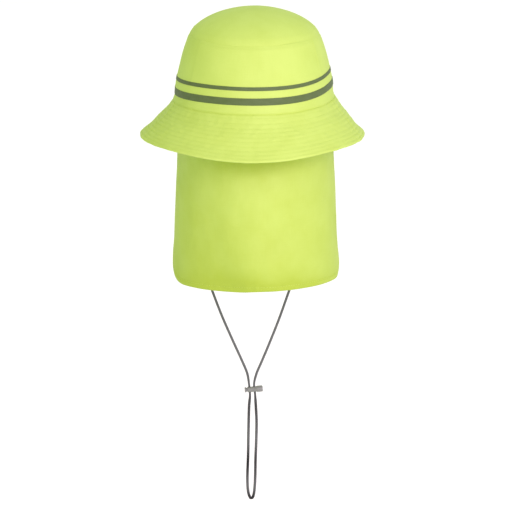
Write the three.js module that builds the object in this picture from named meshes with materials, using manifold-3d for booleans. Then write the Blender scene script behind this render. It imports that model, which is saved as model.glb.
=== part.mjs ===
// Legionnaire sun hat: a bucket hat with a stitched brim, a neck flap, two reflective tapes,
// and a chin cord with a cord lock.
// Units are millimetres, +Z is up and the wearer faces +Y, so the neck flap hangs at -Y.
// The origin is the centre of the head opening, in the plane of the seam between crown and brim.
// Angles run round the hat from the middle of the back, positive towards +X.

import * as THREE from "three";
import { ParametricGeometry } from "three/addons/geometries/ParametricGeometry.js";
import { mergeVertices } from "three/addons/utils/BufferGeometryUtils.js";
import Module from "manifold-3d";

// Cloth thicknesses, and the gap that is left between pieces that are sewn together.
const CROWN_CLOTH = 1.6;
const BRIM_CLOTH = 2.4;
const FLAP_CLOTH = 1.2;
const TAPE_CLOTH = 0.7;
const SEAM_GAP = 0.3;
const TAPE_GAP = 0.2;
const FACETS_ROUND = 72;

// The head oval: each half is this much deeper than it is wide, and in the dome that is a share of its width.
const HEAD_STRETCH = 16;
const DOME_STRETCH = 0.2;

// The crown's side, from the brim seam up to the top seam. Radius is half the width.
const CROWN_SIDE_ROWS = [
  { height: 0, radius: 84.9 },
  { height: 3, radius: 83.6 },
  { height: 35, radius: 78.8 },
  { height: 50, radius: 75.3 },
  { height: 61, radius: 71.9 },
  { height: 67, radius: 69.7 },
  { height: 70.5, radius: 67.8 },
];

// The crown's top panel, from the top seam to the middle.
const CROWN_TOP_ROWS = [
  { height: 70.8, radius: 67.6 },
  { height: 75.4, radius: 64.6 },
  { height: 80.8, radius: 59 },
  { height: 85.6, radius: 52 },
  { height: 90, radius: 43 },
  { height: 93.8, radius: 32 },
  { height: 96.8, radius: 19 },
  { height: 98.2, radius: 0 },
];

// The crown leans a little towards +X, and its top seam dips at the back and front.
const CROWN_LEAN = 0.6;
const TOP_SEAM_DIP = 2.2;

// The brim seam rides up at the sides. The tapes were sewn on askew: they run down at -X and up at +X.
const SEAM_LIFT = { left: 0.5, right: 4, leftPower: 3, rightPower: 3 };
const TAPE_LIFT = { left: -3.2, right: 3.2, leftPower: 2, rightPower: 4 };

// Brim: its reach outwards is the same all round. Its edge drops further at the back and front.
const BRIM_REACH = 32.3;
const BRIM_SIDE_DROP = 34.5;
const BRIM_END_DROP = 42;
const BRIM_SHIFT_X = -1.6;
const BRIM_SLOPE = THREE.MathUtils.degToRad(50);
const BRIM_ROWS = [
  { out: 0, down: 0 },
  { out: 0.18, down: 0.17 },
  { out: 0.45, down: 0.46 },
  { out: 0.74, down: 0.77 },
  { out: 1, down: 1 },
];

// Reflective tapes round the crown, by the heights of their edges at the back.
const TAPES = [
  { name: "reflective_tape_wide", low: 9.9, high: 16.7 },
  { name: "reflective_tape_narrow", low: 24.5, high: 27.8 },
];

// Neck flap: its outside face, from inside the crown down to the hem. Stretch is as for the head oval.
const FLAP_HALF_ANGLE = THREE.MathUtils.degToRad(100);
const FLAP_CORNER = { left: 60, right: 48 };
const FLAP_HEM_TILT = 2;
const FLAP_COLUMNS = 44;
const FLAP_ROWS = [
  { height: 9, radius: 80.7, stretch: 16, shift: 0 },
  { height: -4, radius: 81.6, stretch: 16, shift: 0 },
  { height: -32, radius: 81.6, stretch: 15, shift: 1.2 },
  { height: -62, radius: 82, stretch: 13.5, shift: 2 },
  { height: -92, radius: 83.4, stretch: 13, shift: 2 },
  { height: -120, radius: 84.8, stretch: 12.5, shift: 1.8 },
  { height: -148, radius: 86, stretch: 12.5, shift: 1.9 },
  { height: -170, radius: 87.2, stretch: 12.5, shift: 2.2 },
  { height: -185.4, radius: 87.8, stretch: 12.5, shift: 2.2 },
];

// Soft folds of the flap, by angle in degrees. Each stands out, or in with a minus, most at the hem.
const FLAP_FOLDS = [
  { angle: -62, width: 16, top: 0.3, hem: 1.8 },
  { angle: -34, width: 13, top: -0.4, hem: -2.2 },
  { angle: 2, width: 18, top: 0.8, hem: 1.4 },
  { angle: 34, width: 13, top: -0.6, hem: -1.6 },
  { angle: 64, width: 15, top: 0.2, hem: 1.6 },
];

// Chin cord: one length from tab to tab, in a plane just in front of the ears.
const CORD_DIAMETER = 2.3;
const CORD_SIDES = 8;
const CORD_STEPS = 78;
const TAB_ANGLE = THREE.MathUtils.degToRad(108);
const TAB = { width: 10, depth: 3, top: 9, bottom: -8, corner: 1.2 };

// Cord lock: a barrel with a spring button, tilted up towards +X.
const LOCK_TILT = THREE.MathUtils.degToRad(5);
const LOCK_SIDES = 20;
const BARREL = { length: 16.5, radius: 2.95, bore: 2.3, step: 1.4, endRadius: 3.4, endWall: 2, round: 1.2 };
const BUTTON = { stem: 2, stemEnd: 4, head: 2.8, headLength: 1.7, travel: 0.9 };
const LOCK_CENTRE = { x: 1.2, z: -318.6 };
const STRANDS = { left: -6, right: -0.5 };
const LOCK_CLEARANCE = 0.3;

const clothMaterial = () =>
  new THREE.MeshStandardMaterial({ color: 0xdff27c, roughness: 0.85, metalness: 0 });
const tapeMaterial = () =>
  new THREE.MeshStandardMaterial({ color: 0x76845e, roughness: 0.45, metalness: 0.3 });
const cordMaterial = () =>
  new THREE.MeshStandardMaterial({ color: 0x6b6b6b, roughness: 0.9, metalness: 0 });
const lockMaterial = () =>
  new THREE.MeshStandardMaterial({ color: 0x969693, roughness: 0.5, metalness: 0.1 });

/** A value between two table rows, for rows whose heights run steadily up or down. */
function valueAt(rows, column, height) {
  const last = rows.length - 1;
  const rising = rows[last].height > rows[0].height;
  let i = rows.findIndex((row) => (rising ? row.height >= height : row.height <= height));
  if (i < 0) i = last;
  if (i === 0) i = 1;
  const [a, b] = [rows[i - 1], rows[i]];
  return THREE.MathUtils.mapLinear(height, a.height, b.height, a[column], b[column]);
}

/** How far something rides up at an angle: nothing at the back and front, and its own amount at each side. */
function liftAt(angle, lift) {
  const side = Math.sin(angle);
  if (side < 0) return lift.left * Math.abs(side) ** lift.leftPower;
  return lift.right * side ** lift.rightPower;
}

/** A point of the head oval. */
function ovalPoint(angle, radius, height, stretch = HEAD_STRETCH) {
  const depth = radius + Math.min(stretch, radius * DOME_STRETCH);
  return new THREE.Vector3(radius * Math.sin(angle), -depth * Math.cos(angle), height);
}

/** The same for the crown, which leans. */
function crownPoint(angle, radius, height) {
  const place = ovalPoint(angle, radius, height);
  place.x += (CROWN_LEAN * height) / CROWN_TOP_ROWS.at(-1).height;
  return place;
}

/** A point of the crown's side at a height above the seam, some way out from the cloth's outside face. */
function crownSidePoint(angle, height, out) {
  const share = height / CROWN_SIDE_ROWS.at(-1).height;
  const lift = liftAt(angle, SEAM_LIFT) * (1 - share) - topSeamDip(angle) * share;
  return crownPoint(angle, valueAt(CROWN_SIDE_ROWS, "radius", height) + out, height + lift);
}

/** How far the top seam dips at an angle: most at the back and front. */
function topSeamDip(angle) {
  return TOP_SEAM_DIP * Math.cos(angle) ** 2;
}

/** A closed solid that runs round the hat. Its outline is its section: a closed list of pairs for point(). */
function ringSolid(outline, point) {
  const surface = (u, v, target) => {
    const [a, b] = outline[Math.round(v * outline.length) % outline.length];
    target.copy(point(u * 2 * Math.PI, a, b));
  };
  return new ParametricGeometry(surface, FACETS_ROUND, outline.length);
}

/** Crown side: the outside rows up, then the inside rows down. */
function crownSide() {
  const heights = CROWN_SIDE_ROWS.map((row) => row.height);
  const outside = heights.map((height) => [height, 0]);
  const inside = heights.toReversed().map((height) => [height, -CROWN_CLOTH]);
  return ringSolid([...outside, ...inside], crownSidePoint);
}

/** Crown top: a domed panel, from its middle out to the seam and back along the inside. */
function crownTop() {
  const outside = CROWN_TOP_ROWS.toReversed().map((row) => [row.radius, row.height]);
  const rim = CROWN_TOP_ROWS[0].radius;
  const inside = CROWN_TOP_ROWS.map((row) => {
    const share = row.radius / rim;
    return [row.radius - CROWN_CLOTH * share, row.height - CROWN_CLOTH * (1 - share ** 4)];
  });
  const profile = [...outside, ...inside];
  const surface = (u, v, target) => {
    const [radius, height] = profile[Math.round(v * (profile.length - 1))];
    const angle = -u * 2 * Math.PI;
    const dip = topSeamDip(angle) * (radius / rim) ** 2;
    target.copy(crownPoint(angle, radius, height - dip));
  };
  return new ParametricGeometry(surface, FACETS_ROUND, profile.length - 1);
}

/** Brim: a stiff sheet from the seam out to its edge, with the underside one thickness below. */
function brim() {
  const seamRadius = CROWN_SIDE_ROWS[0].radius;
  const point = (angle, row, depth) => {
    const { out, down } = BRIM_ROWS[row];
    const dropMore = (BRIM_END_DROP - BRIM_SIDE_DROP) * Math.cos(angle) ** 4;
    const lift = liftAt(angle, SEAM_LIFT) * (1 - out);
    const radius = seamRadius + BRIM_REACH * out - depth * Math.sin(BRIM_SLOPE);
    const height = lift - SEAM_GAP - (BRIM_SIDE_DROP + dropMore) * down - depth * Math.cos(BRIM_SLOPE);
    const place = ovalPoint(angle, radius, height);
    place.x += BRIM_SHIFT_X * out;
    return place;
  };
  const rows = BRIM_ROWS.map((_, i) => i);
  const top = rows.toReversed().map((row) => [row, 0]);
  const underside = rows.map((row) => [row, BRIM_CLOTH]);
  return ringSolid([...top, ...underside], point);
}

/** Tape: a thin band that follows the crown's side. */
function tape({ low, high }) {
  const [inner, outer] = [TAPE_GAP, TAPE_GAP + TAPE_CLOTH];
  const point = (angle, height, out) =>
    crownSidePoint(angle, height + liftAt(angle, TAPE_LIFT), out);
  return ringSolid(
    [
      [low, outer],
      [high, outer],
      [high, inner],
      [low, inner],
    ],
    point,
  );
}

/** How far a fold of the flap stands out at an angle and height. */
function foldAt(angle, height) {
  const down = THREE.MathUtils.clamp(height / FLAP_ROWS.at(-1).height, 0, 1);
  return FLAP_FOLDS.reduce((sum, fold) => {
    const away = (THREE.MathUtils.radToDeg(angle) - fold.angle) / fold.width;
    return sum + THREE.MathUtils.lerp(fold.top, fold.hem, down) * down * Math.exp(-away * away);
  }, 0);
}

/** The hem's height at an angle: level, a little higher at +X, with a round corner at each end. */
function hemHeight(angle) {
  const { height, radius } = FLAP_ROWS.at(-1);
  const fromEdge = (FLAP_HALF_ANGLE - Math.abs(angle)) * (radius + HEAD_STRETCH / 2);
  const round = angle < 0 ? FLAP_CORNER.left : FLAP_CORNER.right;
  const past = Math.max(0, round - fromEdge);
  const rise = round - Math.sqrt(round ** 2 - past ** 2);
  return height + rise + FLAP_HEM_TILT * Math.sin(angle);
}

/** Neck flap: a curtain of cloth that thins to nothing at its two side edges. */
function neckFlap() {
  const rows = FLAP_ROWS.length - 1;
  const topHeight = FLAP_ROWS[0].height;
  const point = (across, row, depth) => {
    const angle = FLAP_HALF_ANGLE * Math.sin((across * Math.PI) / 2);
    const share = (FLAP_ROWS[row].height - topHeight) / (FLAP_ROWS[rows].height - topHeight);
    const height = topHeight + (hemHeight(angle) - topHeight) * share;
    const inset = Math.abs(across) === 1 ? FLAP_CLOTH / 2 : depth;
    const radius = valueAt(FLAP_ROWS, "radius", height) + foldAt(angle, height) - inset;
    const place = ovalPoint(angle, radius, height, valueAt(FLAP_ROWS, "stretch", height));
    place.x += valueAt(FLAP_ROWS, "shift", height);
    return place;
  };
  const down = FLAP_ROWS.map((_, i) => i);
  const outline = [
    ...down.toReversed().map((row) => [row, 0]),
    ...down.map((row) => [row, FLAP_CLOTH]),
  ];
  const surface = (u, v, target) => {
    const [row, depth] = outline[Math.round(v * outline.length) % outline.length];
    target.copy(point(2 * u - 1, row, depth));
  };
  return new ParametricGeometry(surface, FLAP_COLUMNS, outline.length);
}

/** Where a cord tab's middle lies: against the inside of the crown, clear of the flap's side edge. */
function tabCentre(side, degreesOn = 0) {
  const angle = side * TAB_ANGLE + THREE.MathUtils.degToRad(degreesOn);
  const inside = valueAt(CROWN_SIDE_ROWS, "radius", TAB.top) - CROWN_CLOTH;
  return ovalPoint(angle, inside - SEAM_GAP - TAB.depth / 2, 0);
}

/** Cord tab: a small folded loop of cloth, sewn flat against the crown, that holds one end of the cord. */
function cordTab() {
  const { width, depth, top, bottom, corner } = TAB;
  const [x, y] = [width / 2, depth / 2];
  const outline = new THREE.Shape()
    .moveTo(-x + corner, -y)
    .lineTo(x - corner, -y)
    .absarc(x - corner, -y + corner, corner, -Math.PI / 2, 0, false)
    .lineTo(x, y - corner)
    .absarc(x - corner, y - corner, corner, 0, Math.PI / 2, false)
    .lineTo(-x + corner, y)
    .absarc(-x + corner, y - corner, corner, Math.PI / 2, Math.PI, false)
    .lineTo(-x, -y + corner)
    .absarc(-x + corner, -y + corner, corner, Math.PI, 1.5 * Math.PI, false);
  const block = new THREE.ExtrudeGeometry(outline, {
    depth: top - bottom,
    bevelEnabled: false,
    curveSegments: 3,
  });
  return block.translate(0, 0, bottom);
}

/** The lock's tilted frame: x runs along the barrel from its middle, and z along the holes for the cord. */
function inLock(x, z) {
  return {
    x: LOCK_CENTRE.x + x * Math.cos(LOCK_TILT) - z * Math.sin(LOCK_TILT),
    z: LOCK_CENTRE.z + x * Math.sin(LOCK_TILT) + z * Math.cos(LOCK_TILT),
  };
}

/** The cord's route: down the left side, through the lock, round the loop and back up on the right. */
function cordRoute() {
  const tab = tabCentre(1);
  const start = TAB.bottom - SEAM_GAP;
  return [
    { x: -tab.x, z: start },
    { x: -76.4, z: -34 },
    { x: -74.4, z: -68 },
    { x: -70, z: -106 },
    { x: -63, z: -146 },
    { x: -53.8, z: -184 },
    { x: -43.3, z: -214.4 },
    { x: -33.3, z: -240.6 },
    { x: -22, z: -266.8 },
    { x: -12.4, z: -288.4 },
    { x: -7.2, z: -301.5 },
    inLock(STRANDS.left, 6),
    inLock(STRANDS.left, -6),
    { x: -5.2, z: -337 },
    { x: -5.9, z: -365 },
    { x: -6.3, z: -392 },
    { x: -7, z: -412 },
    { x: -7, z: -422.5 },
    { x: -6.4, z: -431 },
    { x: -5.2, z: -436.4 },
    { x: -3.6, z: -439.2 },
    { x: -1.6, z: -438.9 },
    { x: -0.2, z: -435 },
    { x: 0.7, z: -428 },
    { x: 1.4, z: -415 },
    { x: 1.7, z: -396 },
    { x: 2.5, z: -374 },
    { x: 2.8, z: -354 },
    { x: 2, z: -337 },
    inLock(STRANDS.right, -6),
    inLock(STRANDS.right, 6),
    { x: 2.8, z: -301.5 },
    { x: 8, z: -289 },
    { x: 17.1, z: -266.8 },
    { x: 27.2, z: -240.6 },
    { x: 36.3, z: -214.4 },
    { x: 47.4, z: -183 },
    { x: 59, z: -144 },
    { x: 68.4, z: -103 },
    { x: 74.4, z: -62 },
    { x: tab.x, z: start },
  ].map(({ x, z }) => new THREE.Vector3(x, tab.y, z));
}

/** A smooth route that takes as many steps between two of its points as between any other two. */
class SteppedRoute extends THREE.CatmullRomCurve3 {
  getUtoTmapping(u) {
    return u;
  }
}

/** Chin cord: a plain tube along the route. */
function chinCord() {
  const section = new THREE.Shape();
  for (let i = 0; i < CORD_SIDES; i++) {
    const turn = (i / CORD_SIDES) * 2 * Math.PI;
    const corner = [(CORD_DIAMETER / 2) * Math.cos(turn), (CORD_DIAMETER / 2) * Math.sin(turn)];
    if (i === 0) section.moveTo(...corner);
    else section.lineTo(...corner);
  }
  section.closePath();
  const extrudePath = new SteppedRoute(cordRoute(), false, "centripetal");
  return new THREE.ExtrudeGeometry(section, { steps: CORD_STEPS, extrudePath });
}

const wasm = await Module();
wasm.setup();

/** A closed three.js geometry as a solid that can be cut. */
function toSolid(geometry) {
  const bare = new THREE.BufferGeometry();
  bare.setAttribute("position", geometry.getAttribute("position"));
  if (geometry.index) bare.setIndex(geometry.index);
  const merged = mergeVertices(bare, 1e-4);
  return new wasm.Manifold(
    new wasm.Mesh({
      numProp: 3,
      vertProperties: merged.getAttribute("position").array,
      triVerts: Uint32Array.from(merged.index.array),
    }),
  );
}

/** A cut solid as a three.js geometry again. */
function toGeometry(solid) {
  const mesh = solid.getMesh();
  const geometry = new THREE.BufferGeometry();
  geometry.setAttribute("position", new THREE.BufferAttribute(mesh.vertProperties, mesh.numProp));
  geometry.setIndex(new THREE.BufferAttribute(mesh.triVerts, 1));
  geometry.computeVertexNormals();
  return geometry;
}

/** A turned piece along the lock's x axis, from [x, radius] corners that start and end on the axis. */
function turnedAlongX(corners) {
  const profile = corners.map(([x, radius]) => new THREE.Vector2(radius, x));
  return new THREE.LatheGeometry(profile, LOCK_SIDES).rotateZ(-Math.PI / 2);
}

/** A cutter for one cord strand: a round hole, or a slot that runs on towards -x. */
function strandCutter(x, slotLength) {
  const radius = CORD_DIAMETER / 2 + LOCK_CLEARANCE;
  const outline = new THREE.Shape()
    .absarc(x, 0, radius, -Math.PI / 2, Math.PI / 2, false)
    .absarc(x - slotLength, 0, radius, Math.PI / 2, 1.5 * Math.PI, false);
  const reach = 2 * BARREL.radius;
  const cutter = new THREE.ExtrudeGeometry(outline, {
    depth: 2 * reach,
    bevelEnabled: false,
    curveSegments: 8,
  });
  return toSolid(cutter.translate(0, 0, -reach));
}

/** Lock barrel: stepped up and closed at +x, open at -x for the button, with two holes for the cord. */
function lockBarrel() {
  const { length, radius, bore, step, endRadius, endWall, round } = BARREL;
  const end = length / 2;
  const rounded = [0, 30, 60, 90].map((degrees) => {
    const turn = THREE.MathUtils.degToRad(degrees);
    return [end - round + round * Math.sin(turn), endRadius - round + round * Math.cos(turn)];
  });
  const body = turnedAlongX([
    [end - endWall, 0],
    [end - endWall, bore],
    [-end, bore],
    [-end, radius - 0.3],
    [-end + 0.3, radius],
    [step, radius],
    [step + 0.8, endRadius],
    ...rounded,
    [end, 0],
  ]);
  const strands = Object.values(STRANDS).map((x) => strandCutter(x, 0));
  return toGeometry(strands.reduce((solid, cutter) => solid.subtract(cutter), toSolid(body)));
}

/** Lock button: a head and a stem, slotted so that the cord stays clear while the button is pressed. */
function lockButton() {
  const { stem, stemEnd, head, headLength, travel } = BUTTON;
  const barrelEnd = -BARREL.length / 2;
  const headInside = barrelEnd - travel - LOCK_CLEARANCE;
  const body = turnedAlongX([
    [headInside - headLength, 0],
    [headInside - headLength, head - 0.5],
    [headInside - headLength + 0.5, head],
    [headInside, head],
    [headInside, stem],
    [stemEnd, stem],
    [stemEnd, 0],
  ]);
  const strands = Object.values(STRANDS).map((x) => strandCutter(x, travel));
  return toGeometry(strands.reduce((solid, cutter) => solid.subtract(cutter), toSolid(body)));
}

function piece(name, geometry, material) {
  const mesh = new THREE.Mesh(geometry, material);
  mesh.name = name;
  return mesh;
}

const hat = new THREE.Group();
hat.add(piece("crown_top", crownTop(), clothMaterial()));
hat.add(piece("crown_side", crownSide(), clothMaterial()));
hat.add(piece("brim", brim(), clothMaterial()));
hat.add(piece("neck_flap", neckFlap(), clothMaterial()));
for (const band of TAPES) hat.add(piece(band.name, tape(band), tapeMaterial()));

for (const [name, side] of [
  ["cord_tab_left", -1],
  ["cord_tab_right", 1],
]) {
  const tab = piece(name, cordTab(), clothMaterial());
  const centre = tabCentre(side);
  const along = tabCentre(side, 1).sub(tabCentre(side, -1));
  tab.position.copy(centre);
  tab.rotation.z = Math.atan2(along.y, along.x);
  hat.add(tab);
}
hat.add(piece("chin_cord", chinCord(), cordMaterial()));

const lock = new THREE.Group();
lock.add(piece("lock_barrel", lockBarrel(), lockMaterial()));
lock.add(piece("lock_button", lockButton(), lockMaterial()));
lock.position.set(LOCK_CENTRE.x, tabCentre(1).y, LOCK_CENTRE.z);
lock.rotation.y = -LOCK_TILT;
hat.add(lock);

export default hat;
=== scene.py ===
# %% [markdown]
# # A legionnaire sun hat
# The object is a bucket hat for road workers: a cloth crown, a stiff stitched brim, a long flap that keeps
# the sun off the neck, two grey reflective tapes, and an elastic chin cord with a small cord lock. The
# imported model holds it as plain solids. This lesson dresses them: each cell makes one piece or one finish.

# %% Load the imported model
import math

import bmesh
import bpy
import numpy as np
from mathutils import Matrix, Vector


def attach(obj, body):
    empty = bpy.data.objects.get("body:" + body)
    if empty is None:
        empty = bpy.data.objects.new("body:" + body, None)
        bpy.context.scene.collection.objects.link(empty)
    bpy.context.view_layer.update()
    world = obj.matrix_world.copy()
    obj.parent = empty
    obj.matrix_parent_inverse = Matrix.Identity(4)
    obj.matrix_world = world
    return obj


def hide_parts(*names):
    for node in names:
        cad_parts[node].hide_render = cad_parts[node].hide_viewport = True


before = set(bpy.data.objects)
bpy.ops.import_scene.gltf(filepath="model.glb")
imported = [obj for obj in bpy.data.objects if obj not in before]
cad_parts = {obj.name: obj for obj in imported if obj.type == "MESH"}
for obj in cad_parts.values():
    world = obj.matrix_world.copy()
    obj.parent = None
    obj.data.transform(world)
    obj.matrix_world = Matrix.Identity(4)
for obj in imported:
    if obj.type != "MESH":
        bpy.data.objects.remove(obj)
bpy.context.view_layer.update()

# %% [markdown]
# ## The sizes that drive everything
# A hatter works from a head size and a few heights. The same few values are kept here, in metres, so that a
# piece and its neighbour always agree. Angles run round the hat from the middle of the back.

# %% Named sizes
MM = 0.001
CROWN_CLOTH = 1.6 * MM
BRIM_CLOTH = 2.4 * MM
FLAP_CLOTH = 1.2 * MM
TAPE_FILM = 0.45 * MM
SEAM_GAP = 0.3 * MM
HEAD_STRETCH = 16 * MM
DOME_STRETCH = 0.2
CROWN_HEIGHT = 98.2 * MM
CROWN_LEAN = 0.6 * MM
TOP_SEAM_DIP = 2.2 * MM
SEAM_LIFT = {"left": 0.5 * MM, "right": 4 * MM, "left_power": 3, "right_power": 3}
TAPE_LIFT = {"left": -2.6 * MM, "right": 4.5 * MM, "left_power": 4, "right_power": 6}

# %% [markdown]
# ## The photographer's camera
# The picture is a long-lens studio shot from behind the hat and about nine degrees above it. The lens
# follows from how large the hat is in the picture, and the camera is turned so that the middle of the head
# opening falls on its own spot there.

# %% Place the camera
PICTURE = 505
MM_PER_PIXEL = 1.05
OPENING_X, OPENING_Y = 254.0, 99.8
CAMERA_ELEVATION = math.radians(9)
CAMERA_DISTANCE = 4.0


def add_object(name, data):
    thing = bpy.data.objects.new(name, data)
    bpy.context.collection.objects.link(thing)
    return thing


def place_camera():
    pixels_per_radian = CAMERA_DISTANCE / (MM_PER_PIXEL * MM)
    data = bpy.data.cameras.new("studio_camera")
    data.sensor_width = 36
    data.lens = pixels_per_radian / PICTURE * data.sensor_width
    data.clip_start, data.clip_end = 0.1, 100
    camera = add_object("studio_camera", data)
    back = CAMERA_DISTANCE * math.cos(CAMERA_ELEVATION)
    up = CAMERA_DISTANCE * math.sin(CAMERA_ELEVATION)
    camera.location = (0, -back, up)
    down = CAMERA_ELEVATION + math.atan((PICTURE / 2 - OPENING_Y) / pixels_per_radian)
    aside = math.atan((OPENING_X - PICTURE / 2) / pixels_per_radian)
    camera.rotation_euler = (math.pi / 2 - down, 0, aside)
    bpy.context.scene.camera = camera
    return data.lens


print("lens:", round(place_camera()), "mm")

# %% [markdown]
# ## Helpers: smooth tables and head ovals
# A hat is a stack of ovals. A short table in millimetres gives the half-width at a few heights, and a smooth
# curve through the table gives it everywhere. A cubic curve with slopes taken from its neighbours is enough,
# and it passes through every row.


# %% Tables and ovals
def smooth(at, places, values):
    """A smooth curve through a table's rows. The places run upwards."""
    places, values = np.asarray(places, float), np.asarray(values, float)
    at = np.clip(np.asarray(at, float), places[0], places[-1])
    slopes = np.gradient(values, places)
    i = np.clip(np.searchsorted(places, at) - 1, 0, len(places) - 2)
    step = places[i + 1] - places[i]
    t = (at - places[i]) / step
    start = (2 * t**3 - 3 * t**2 + 1) * values[i] + (t**3 - 2 * t**2 + t) * step * slopes[i]
    end = (3 * t**2 - 2 * t**3) * values[i + 1] + (t**3 - t**2) * step * slopes[i + 1]
    return start + end


def oval(angle, radius, height, stretch=HEAD_STRETCH):
    """Points of the head oval: radius is half the width, and angle 0 is the middle of the back."""
    depth = radius + np.minimum(stretch, radius * DOME_STRETCH)
    return np.stack([radius * np.sin(angle), -depth * np.cos(angle), height + 0 * angle], axis=-1)


def lift_at(angle, lift):
    """How far something rides up: nothing at the back and front, its own amount at each side."""
    side = np.sin(angle)
    left = lift["left"] * np.abs(side) ** lift["left_power"]
    right = lift["right"] * np.abs(side) ** lift["right_power"]
    return np.where(side < 0, left, right)


def bump_at(distance, width):
    """A soft bump: 1 in the middle, and nearly 0 past one and a half widths."""
    return np.exp(-((distance / width) ** 2))


def run_along(path):
    """How far along a path each of its points lies."""
    return np.concatenate([[0], np.cumsum(np.linalg.norm(np.diff(path, axis=0), axis=1))])


def on_path(stations, along, values):
    """A path's points or normals at some stations along it."""
    return np.stack([np.interp(stations, along, values[:, axis]) for axis in range(3)], axis=-1)


# %% [markdown]
# ## Helpers: from grids of points to meshes
# Nearly every piece here is a grid: rows one way, columns the other, with a face between four neighbours.
# Beside its place, each corner keeps where it lay on the flat cloth, in metres, so that a weave keeps its
# thread size wherever the cloth curves. A piece may also carry marks, such as how much painted shade
# darkens its colour.


# %% Grids and meshes
def unit(vectors):
    return vectors / np.maximum(np.linalg.norm(vectors, axis=-1, keepdims=True), 1e-12)


def build_mesh(name, points, faces, material=None, flat=None, marks=None):
    """An object from points and faces, with flat places for face corners and marks for points."""
    mesh = bpy.data.meshes.new(name)
    mesh.from_pydata(points.reshape(-1, 3).tolist(), [], faces)
    if flat is not None:
        mesh.uv_layers.new(name="flat_cloth").data.foreach_set("uv", flat.ravel().astype(np.float32))
    for mark, values in (marks or {}).items():
        layer = mesh.attributes.new(mark, "FLOAT", "POINT")
        layer.data.foreach_set("value", np.asarray(values, np.float32).ravel())
    work = bmesh.new()
    work.from_mesh(mesh)
    bmesh.ops.remove_doubles(work, verts=work.verts, dist=1e-7)
    bmesh.ops.recalc_face_normals(work, faces=work.faces)
    work.to_mesh(mesh)
    work.free()
    mesh.polygons.foreach_set("use_smooth", [True] * len(mesh.polygons))
    if material is not None:
        mesh.materials.append(material)
        print(name, "has", len(mesh.polygons), "faces")
    return add_object(name, mesh)


def grid_faces(rows, columns, around=True, ends_meet=False):
    """The row and the column of each face of a grid, and of the next one each way."""
    last_row = rows if ends_meet else rows - 1
    last_column = columns if around else columns - 1
    i, j = np.meshgrid(np.arange(last_row), np.arange(last_column), indexing="ij")
    i, j = i.ravel(), j.ravel()
    return i, j, (i + 1) % rows, (j + 1) % columns


def grid_mesh(
    name, grid, flat, material=None, marks=None, around=True, ends_meet=False, caps=False, skip=None
):
    """A mesh from a grid of points. Where the grid closes, its flat grid has one more column."""
    rows, columns = grid.shape[:2]
    i, j, below, beside = grid_faces(rows, columns, around, ends_meet)
    if skip is not None:
        kept = i != skip
        i, j, below, beside = i[kept], j[kept], below[kept], beside[kept]
    corners = [i * columns + j, i * columns + beside, below * columns + beside, below * columns + j]
    faces = np.stack(corners, axis=-1).tolist()
    if caps:
        faces += [list(range(columns)), list(range((rows - 1) * columns, rows * columns))]
    if flat is not None:
        flat = np.stack([flat[i, j], flat[i, j + 1], flat[below, j + 1], flat[below, j]], axis=1)
        flat = np.concatenate([flat.reshape(-1, 2), np.zeros((2 * columns * caps, 2))])
    return build_mesh(name, grid, faces, material, flat, marks)


def close_columns(grid, step=0.0):
    """The grid with its first column repeated after its last, moved on by step in its first value."""
    first = grid[:, :1].copy()
    first[..., 0] += step
    return np.concatenate([grid, first], axis=1)


# %% [markdown]
# ## Helpers: cloth as a wall with two faces
# Real cloth has a thickness and rounded edges. Each piece starts as the grid of its outside face. The
# inside face is that grid moved in along its own normals. A rounded lip joins the two along each edge, so
# the piece is one closed body.


# %% Cloth walls
def facing(grid, around=True):
    """The normal at every point of a grid, pointing away from the hat's middle axis."""
    across = np.roll(grid, -1, 1) - np.roll(grid, 1, 1) if around else np.gradient(grid, axis=1)
    normal = np.cross(across, np.gradient(grid, axis=0))
    length = np.linalg.norm(normal, axis=-1, keepdims=True)
    middle = (grid.shape[0] // 2, grid.shape[1] // 4)
    sign = np.sign(np.dot(normal[middle][:2], grid[middle][:2]))
    return np.where(length > 1e-13, sign * normal / np.maximum(length, 1e-13), [0, 0, 1])


def raised(grid, relief, around=True):
    """The grid with each point moved out along its own normal."""
    return grid + relief[..., None] * facing(grid, around)


def rounded_lip(outside_edge, inside_edge, away):
    """Three rows that round the cloth's edge, from its outside face to its inside face."""
    middle = (outside_edge + inside_edge) / 2
    half = (outside_edge - inside_edge) / 2
    reach = np.linalg.norm(half, axis=-1, keepdims=True)
    return [middle + math.cos(a) * half + math.sin(a) * reach * away for a in np.radians([45, 90, 135])]


def cloth_wall(name, outside, flat, thickness, painted_shade, material, around=True, pole=False):
    """A closed wall of cloth from the grid of its outside face, with a mark of how much painted shade
    darkens it.
    """
    inside = outside - np.broadcast_to(thickness, outside.shape[:2])[..., None] * facing(outside, around)
    if not around:
        for edge, beside in ((0, 1), (-1, -2)):
            away = unit(outside[:, edge] - outside[:, beside])
            lip = rounded_lip(outside[:, edge], inside[:, edge], away)[1]
            outside[:, edge] = inside[:, edge] = lip
    first_lip = rounded_lip(outside[0], inside[0], unit(outside[0] - outside[1]))
    last_lip = rounded_lip(outside[-1], inside[-1], unit(outside[-1] - outside[-2]))
    loops = [[outside, last_lip, inside[::-1], first_lip[::-1]]]
    loops += [[mark, [mark[-1]] * 3, mark[::-1], [mark[0]] * 3] for mark in (flat, painted_shade)]
    if pole:
        for loop in loops:
            del loop[1]
    grid, flat, painted_shade = [np.concatenate(loop) for loop in loops]
    skip = len(outside) - 1 if pole else None
    return grid_mesh(name, grid, flat, material, {"painted_shade": painted_shade}, around, ends_meet=True, skip=skip)
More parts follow.
